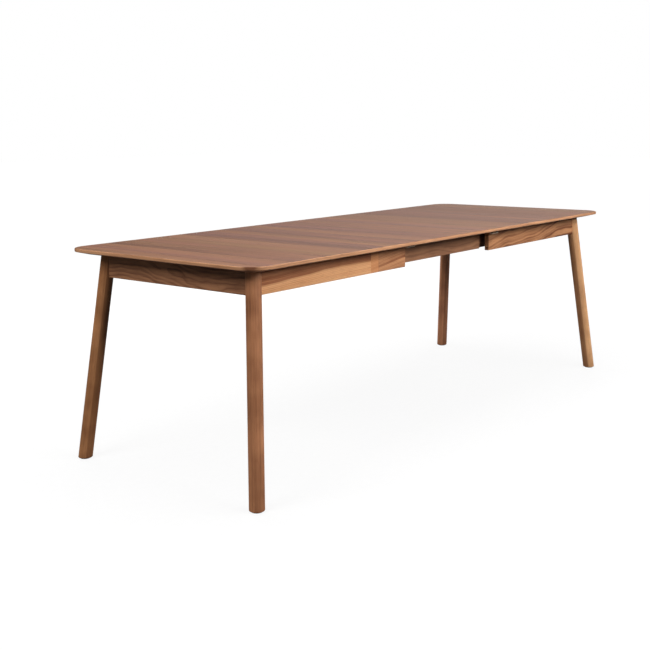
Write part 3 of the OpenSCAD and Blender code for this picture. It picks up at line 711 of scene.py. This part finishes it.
# How each apron is sawn from its log, as plank takes it
APRONS = {
    "left_front_apron": dict(
        along=ALONG, pith=(0.099, 0.02), tilt=0.04, ring=0.0055, wave=0.004, wave_step=0.3,
        contrast=1.2, light=linear("a26c4a"), sap=0.0985, sap_soft=0.005, seed=0.7,
        joint=(0.180, 0.046, 0.01, -0.1)),
    "right_front_apron": dict(
        along=ALONG, pith=(-0.07, 0.02), tilt=0.16, ring=0.013, wave=0.026, wave_step=0.3,
        contrast=1.25, light=linear("ae7b55"), dark=linear("603622"), seed=2.4),
    "left_back_apron": dict(along=ALONG, pith=(0.08, 0.03), tilt=0.02, ring=0.008, seed=4.1),
    "right_back_apron": dict(
        along=ALONG, pith=(-0.09, 0.03), tilt=-0.015, ring=0.008, sap=0.11, seed=5.6),
    "left_end_apron": dict(
        along=ACROSS, pith=(0.02, 0.02), tilt=0.1, ring=0.012, wave=0.03, wave_step=0.25,
        contrast=1.3, light=linear("ac7a58"), dark=linear("64402e"), seed=3.3),
    "right_end_apron": dict(along=ACROSS, pith=(0.08, 0.03), tilt=-0.02, ring=0.008, seed=6.2)}


class TABLE_OT_aprons(bpy.types.Operator):
    """Gives the six aprons their eased edges and figure"""

    bl_idname = "table.aprons"
    bl_label = "Aprons"

    def execute(self, context):
        for node, look in APRONS.items():
            board(node, "_walnut", "apron_walnut", **look)
        return {"FINISHED"}


class TABLE_OT_centre_frame(bpy.types.Operator):
    """Finishes the fascias, beams, rails and the pinion's block"""

    bl_idname = "table.centre_frame"
    bl_label = "Centre frame"

    def execute(self, context):
        for node, seed in (("fascia_front", 1.9), ("fascia_back", 3.7)):
            board(node, "_walnut", "fascia_walnut", ALONG, pith=(0.06, 0.02), tilt=0.03, ring=0.02,
                  wave=0.03, contrast=1.1, gloss=0.5, light=linear("94694c"), dark=linear("5a3a2a"),
                  seed=seed)
        for node, seed in (("beam_front", 0.4), ("beam_back", 2.2)):
            board(node, "_timber", "beam_timber", ALONG, pith=(0.2, 0.1), tilt=0.005, wave=0.004,
                  gloss=0.58, light=linear("7d5742"), dark=linear("4b3226"), seed=seed)
        rails = ("cross_rail_left", "cross_rail_middle", "cross_rail_right", "pinion_block")
        for k, node in enumerate(rails):
            board(node, "_timber", "inner_timber", ACROSS, pith=(0.05, 0.03), tilt=0.01, wave=0.006,
                  gloss=0.6, light=colours().beech, dark=BEECH_DARK, seed=1.1 * k)
        return {"FINISHED"}


class TABLE_OT_slides(bpy.types.Operator):
    """Finishes the runners, battens, slide stops, corner blocks and fixing blocks"""

    bl_idname = "table.slides"
    bl_label = "Slides and blocks"

    def execute(self, context):
        pale = dict(pith=(0.06, 0.04), tilt=0.01, wave=0.006, gloss=0.6, light=colours().beech,
                    dark=BEECH_DARK)
        lengthwise = ["leaf_batten_front", "leaf_batten_back"]
        lengthwise += [corner + "_runner" for corner, _, _ in CORNERS]
        lengthwise += [side + "_fixing_blocks" for side in SIDES]
        for k, node in enumerate(lengthwise):
            board(node, "_beech", "inner_timber", ALONG, seed=0.9 * k, **pale)
        stops_end = tuple(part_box("slide_stops")[0])
        dress("slide_stops", plank("slide_stops_beech", stops_end, ACROSS, UPWARD, seed=5.2, **pale))
        for corner, sx, sy in CORNERS:
            board(corner + "_corner_block", "_beech", "inner_timber", (1, -sx * sy, 0),
                  seed=2.0 + sx + 0.5 * sy, **pale)
        return {"FINISHED"}


class TABLE_OT_fittings(bpy.types.Operator):
    """Finishes the screws, bolts, plates, racks, pinion and glides"""

    bl_idname = "table.fittings"
    bl_label = "Fittings"

    def execute(self, context):
        c = colours()
        zinc = tuple(c.zinc)
        fastener = steel("zinc_fastener", zinc, 0.32, UPWARD)
        bar = steel("rack_steel", tuple(v * 0.7 for v in zinc), 0.42)
        # Painted glint: half metallic with a pale warm tone, so the bars show bright and warm though
        # they sit in the shade under the top
        nickel_and_glint = steel("nickel_bar_and_glint", NICKEL_AND_GLINT, 0.5, metal=0.45)
        sleeve = steel("sleeve_steel", tuple(v * 0.35 for v in zinc), 0.45, UPWARD)
        for node in ("frame_screws", "leaf_screws", "pinion_pin"):
            dress(node, fastener)
        dress("pinion", moulded("pinion_nylon", tuple(c.nylon), 0.42, 900.0))
        for side in SIDES:
            dress(side + "_screws", fastener)
            dress(side + "_leg_bolts", fastener)
            dress(side + "_rest_bars", nickel_and_glint)
            dress(side + "_spacers", sleeve)
            dress(side + "_rack", bar)
        foot = moulded("glide_plastic", tuple(c.glide), 0.55, 1400.0)
        dress("leaf_pads", foot)
        for corner, _, _ in CORNERS:
            dress(corner + "_glide", foot)
        return {"FINISHED"}


BLACK, WHITE = (0, 0, 0), (1, 1, 1)
# Half the side of the floor, and the range of its grey
FLOOR_HALF, FLOOR_DARK, FLOOR_LIGHT = 30.0, (0.09, 0.09, 0.09), (0.11, 0.11, 0.11)
# Glow of the floor near the table, where the shadow has to show, and how much more it has far away
GLOW, GLOW_RISE = 0.87, 0.13
# Level of the surroundings for soft light and for reflections
AMBIENT, SHEEN = 0.12, 0.64
# Place of each softbox, the point it faces, its width and height, its power, and whether it mirrors.
# The front one mirrors with a part of its power, and back and right only fill.
FRONT = ((0.3, -2.4, 1.62), (0.2, -0.4, 0.6), 3.2, 0.7)
LAMPS = {
    "front": (*FRONT, 71.0, False),
    "front_gleam": (*FRONT, 32.0, True),
    "left": ((-4.2, 0.3, 2.95), (-1.2, 0.0, 0.6), 2.2, 1.6, 114.0, False),
    "overhead": ((0.0, 0.2, 3.6), (0.0, 0.0, 0.6), 3.6, 2.4, 68.0, True),
    "back": ((0.5, 3.3, 1.25), (0.2, 0.4, 0.55), 3.2, 0.9, 75.0, False),
    "right": ((4.0, 1.0, 1.35), (1.2, 0.0, 0.5), 1.6, 1.0, 48.0, False)}
# The photograph's camera: its place, its angles, its focal length in pixels and the picture's width
CAMERA_PLACE = (-3.3122, -2.4417, 1.1630)
AZIMUTH, ELEVATION, ROLL = radians(-50.71), radians(11.19), radians(-0.60)
FOCAL_PIXELS, PICTURE_PIXELS = 1001.48, 650
SENSOR_MM, CLIP_END = 36, 200


def floor_material():
    """A dull floor that takes the shadow and glows white to the camera, and is clear from below."""
    p = Paint("studio_floor")
    x, y = p.axes(p.place(), (ALONG, ACROSS))
    speck = p.noise(x * 40.0, y * 40.0, 0.0)
    lit = p.node("BsdfDiffuse", {}, {"Color": p.mix(speck, FLOOR_DARK, FLOOR_LIGHT)})
    away = (x * x * 0.4 + y * y) ** 0.5
    level = away.rise(0.6, 3.2) * GLOW_RISE + GLOW
    seen = p.node("LightPath", out="Is Camera Ray")
    glow = p.node("Emission", {}, {"Color": p.mix(level, BLACK, WHITE), "Strength": seen})
    above = p.node("AddShader", {}, {0: lit, 1: glow})
    from_below = p.node("NewGeometry", out="Backfacing")
    clear = p.node("BsdfTransparent")
    surface = p.node("MixShader", {}, {0: from_below, 1: above, 2: clear})
    p.node("OutputMaterial", {}, {"Surface": surface})
    return p.material


def add_floor(scene):
    """A plain level square under the table."""
    s = FLOOR_HALF
    mesh = bpy.data.meshes.new("floor")
    mesh.from_pydata([(-s, -s, 0), (s, -s, 0), (s, s, 0), (-s, s, 0)], [], [(0, 1, 2, 3)])
    mesh.materials.append(floor_material())
    floor = bpy.data.objects.new("floor", mesh)
    scene.collection.objects.link(floor)


def add_surroundings(scene):
    """White to the camera, dim as soft light, and bright in reflections low down towards +X."""
    world = bpy.data.worlds.new("studio")
    scene.world = world
    world.use_nodes = True
    p = Paint(tree=world.node_tree)
    kinds = ("Is Camera Ray", "Is Glossy Ray", "Is Transmission Ray")
    camera, glossy, through = p.node("LightPath", out=kinds)
    way = p.node("TexCoord", out="Generated")
    high = p.axis(way, UPWARD).rise(0.0, 0.3)
    right = p.axis(way, ALONG).rise(0.5, 0.95)
    direct = (camera + through).clamp()
    strength = direct * (1 - AMBIENT) + glossy * (1 - high) * right * SHEEN + AMBIENT
    sky = p.node("Background", {}, {"Color": WHITE, "Strength": strength})
    p.node("OutputWorld", {}, {"Surface": sky})


def add_lamps(scene):
    """Softboxes that turn their faces to their targets."""
    for name, (place, target, width, height, power, mirrored) in LAMPS.items():
        lamp = bpy.data.lights.new(name, "AREA")
        lamp.shape, lamp.size, lamp.size_y, lamp.energy = "RECTANGLE", width, height, power
        box = bpy.data.objects.new(name, lamp)
        box.location = place
        box.rotation_mode = "QUATERNION"
        box.rotation_quaternion = (Vector(place) - Vector(target)).to_track_quat("Z", "Y")
        box.visible_camera, box.visible_glossy = False, mirrored
        scene.collection.objects.link(box)


def add_camera(scene):
    """The photograph's camera, level but for a small roll about its line of sight."""
    level = cos(ELEVATION)
    ahead = Vector((-sin(AZIMUTH) * level, cos(AZIMUTH) * level, -sin(ELEVATION)))
    right = ahead.cross(Vector(UPWARD)).normalized()
    up = right.cross(ahead)
    rolled_right = cos(ROLL) * right + sin(ROLL) * up
    rolled_up = cos(ROLL) * up - sin(ROLL) * right
    camera = bpy.data.objects.new("camera", bpy.data.cameras.new("camera"))
    camera.data.sensor_width = SENSOR_MM
    camera.data.lens = FOCAL_PIXELS / PICTURE_PIXELS * SENSOR_MM
    camera.data.clip_end = CLIP_END
    turn = Matrix((rolled_right, rolled_up, -ahead)).transposed().to_4x4()
    camera.matrix_world = Matrix.Translation(CAMERA_PLACE) @ turn
    scene.collection.objects.link(camera)
    scene.camera = camera


class TABLE_OT_studio(bpy.types.Operator):
    """Sets up the floor, the lamps, the surroundings and the camera"""

    bl_idname = "table.studio"
    bl_label = "Studio"

    def execute(self, context):
        scene = context.scene
        scene.view_settings.view_transform = "Standard"
        add_floor(scene)
        add_surroundings(scene)
        add_lamps(scene)
        add_camera(scene)
        return {"FINISHED"}


PIECES = (TABLE_OT_tops, TABLE_OT_rims, TABLE_OT_legs, TABLE_OT_aprons, TABLE_OT_centre_frame,
          TABLE_OT_slides, TABLE_OT_fittings, TABLE_OT_studio)


class TABLE_PT_build(bpy.types.Panel):
    """Lists the pieces of the table with their sizes and colours"""

    bl_label = "Extending table"
    bl_idname = "TABLE_PT_build"
    bl_space_type = "VIEW_3D"
    bl_region_type = "UI"
    bl_category = "Table"

    def draw(self, context):
        for piece in PIECES:
            self.layout.operator(piece.bl_idname)
        for group in (context.scene.table_sizes, context.scene.table_colours):
            for name in group.bl_rna.properties.keys():
                if name not in ("rna_type", "name"):
                    self.layout.prop(group, name)


CLASSES = (TableSizes, TableColours, *PIECES, TABLE_PT_build)


def register():
    for cls in CLASSES:
        bpy.utils.register_class(cls)
    bpy.types.Scene.table_sizes = bpy.props.PointerProperty(type=TableSizes)
    bpy.types.Scene.table_colours = bpy.props.PointerProperty(type=TableColours)


def unregister():
    del bpy.types.Scene.table_sizes, bpy.types.Scene.table_colours
    for cls in reversed(CLASSES):
        bpy.utils.unregister_class(cls)


def main():
    register()
    bpy.ops.table.tops()
    bpy.ops.table.rims()
    bpy.ops.table.legs()
    bpy.ops.table.aprons()
    bpy.ops.table.centre_frame()
    bpy.ops.table.slides()
    bpy.ops.table.fittings()
    bpy.ops.table.studio()


if __name__ == "__main__":
    main()
